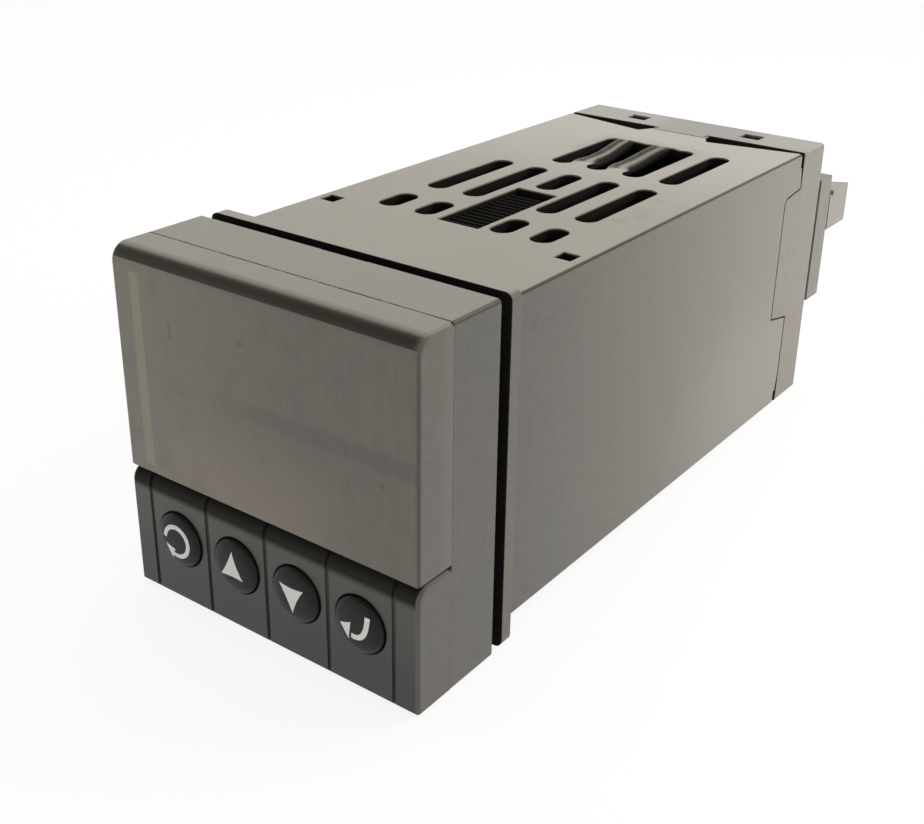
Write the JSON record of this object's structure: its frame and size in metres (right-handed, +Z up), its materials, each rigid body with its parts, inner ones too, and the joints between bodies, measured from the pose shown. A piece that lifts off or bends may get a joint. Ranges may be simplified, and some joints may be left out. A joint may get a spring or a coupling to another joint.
{
  "type": "panel-mounted pid temperature controller",
  "caption": "Small square-fronted process controller for a panel, with smoked display lens, domed keys, vented slide-on retaining sleeve, rear cover and pull-off screw terminals",
  "frame": {"origin": "centre of the bezel's rear face, which lies on the front of the panel", "axes": "+X to the right seen from the front, +Y through the panel to the rear (the front faces -Y), +Z up; lengths in metres"},
  "size_m": [0.048, 0.1265, 0.048],
  "materials": {
    "case_plastic": "satin",
    "sleeve_plastic": "satin",
    "lens_plastic": "glossy",
    "key_plastic": "glossy",
    "grey_rubber": "matte",
    "board": "satin",
    "display_block": "glossy",
    "led_plastic": "glossy",
    "pale_plastic": "matte",
    "foam_strip": "matte",
    "black_plastic": "matte",
    "core_steel": "matte",
    "winding_tape": "satin",
    "relay_case": "satin",
    "capacitor_sleeve": "glossy",
    "terminal_plastic": "satin",
    "pin_metal": "bright",
    "screw_metal": "satin"
  },
  "bodies": {
    "case": {"case_housing": "case_plastic", "display_lens": "lens_plastic", "keypad_mat": "grey_rubber", "display_board": "board", "upper_display": "display_block", "lower_display": "display_block", "alarm_leds": "led_plastic", "display_spacer": "pale_plastic", "light_strip": "foam_strip", "main_board": "board", "power_board": "board", "main_link": "black_plastic", "power_link": "black_plastic", "rear_board": "board", "transformer_core": "core_steel", "transformer_winding": "winding_tape", "left_relay": "relay_case", "right_relay": "relay_case", "filter_capacitor": "capacitor_sleeve", "output_capacitor": "capacitor_sleeve", "processor_chip": "black_plastic", "right_pins": "pin_metal", "left_pins": "pin_metal"},
    "menu_key": {"menu_button": "key_plastic"},
    "up_key": {"up_button": "key_plastic"},
    "down_key": {"down_button": "key_plastic"},
    "enter_key": {"enter_button": "key_plastic"},
    "sleeve": {"retainer_sleeve": "sleeve_plastic"},
    "cover": {"rear_cover": "case_plastic", "right_header": "terminal_plastic", "left_header": "terminal_plastic"},
    "right_plug": {"right_plug": "terminal_plastic", "right_plug_screws": "screw_metal"},
    "left_plug": {"left_plug": "terminal_plastic", "left_plug_screws": "screw_metal"}
  },
  "joints": [
    {"name": "menu_press", "type": "slide", "parent": "case", "child": "menu_key", "axis": [0, 1, 0], "range_m": [0, 0.0007], "stiffness_N_per_m": 600, "springref_m": -0.0003},
    {"name": "up_press", "type": "slide", "parent": "case", "child": "up_key", "axis": [0, 1, 0], "range_m": [0, 0.0007], "stiffness_N_per_m": 600, "springref_m": -0.0003},
    {"name": "down_press", "type": "slide", "parent": "case", "child": "down_key", "axis": [0, 1, 0], "range_m": [0, 0.0007], "stiffness_N_per_m": 600, "springref_m": -0.0003},
    {"name": "enter_press", "type": "slide", "parent": "case", "child": "enter_key", "axis": [0, 1, 0], "range_m": [0, 0.0007], "stiffness_N_per_m": 600, "springref_m": -0.0003},
    {"name": "sleeve_slide", "type": "slide", "parent": "case", "child": "sleeve", "axis": [0, 1, 0], "range_m": [-0.001, 0.095]},
    {"name": "cover_slide", "type": "slide", "parent": "sleeve", "child": "cover", "axis": [0, 1, 0], "range_m": [0, 0.03]},
    {"name": "right_plug_pull", "type": "slide", "parent": "cover", "child": "right_plug", "axis": [0, 1, 0], "range_m": [0, 0.02]},
    {"name": "left_plug_pull", "type": "slide", "parent": "cover", "child": "left_plug", "axis": [0, 1, 0], "range_m": [0, 0.02]}
  ]
}
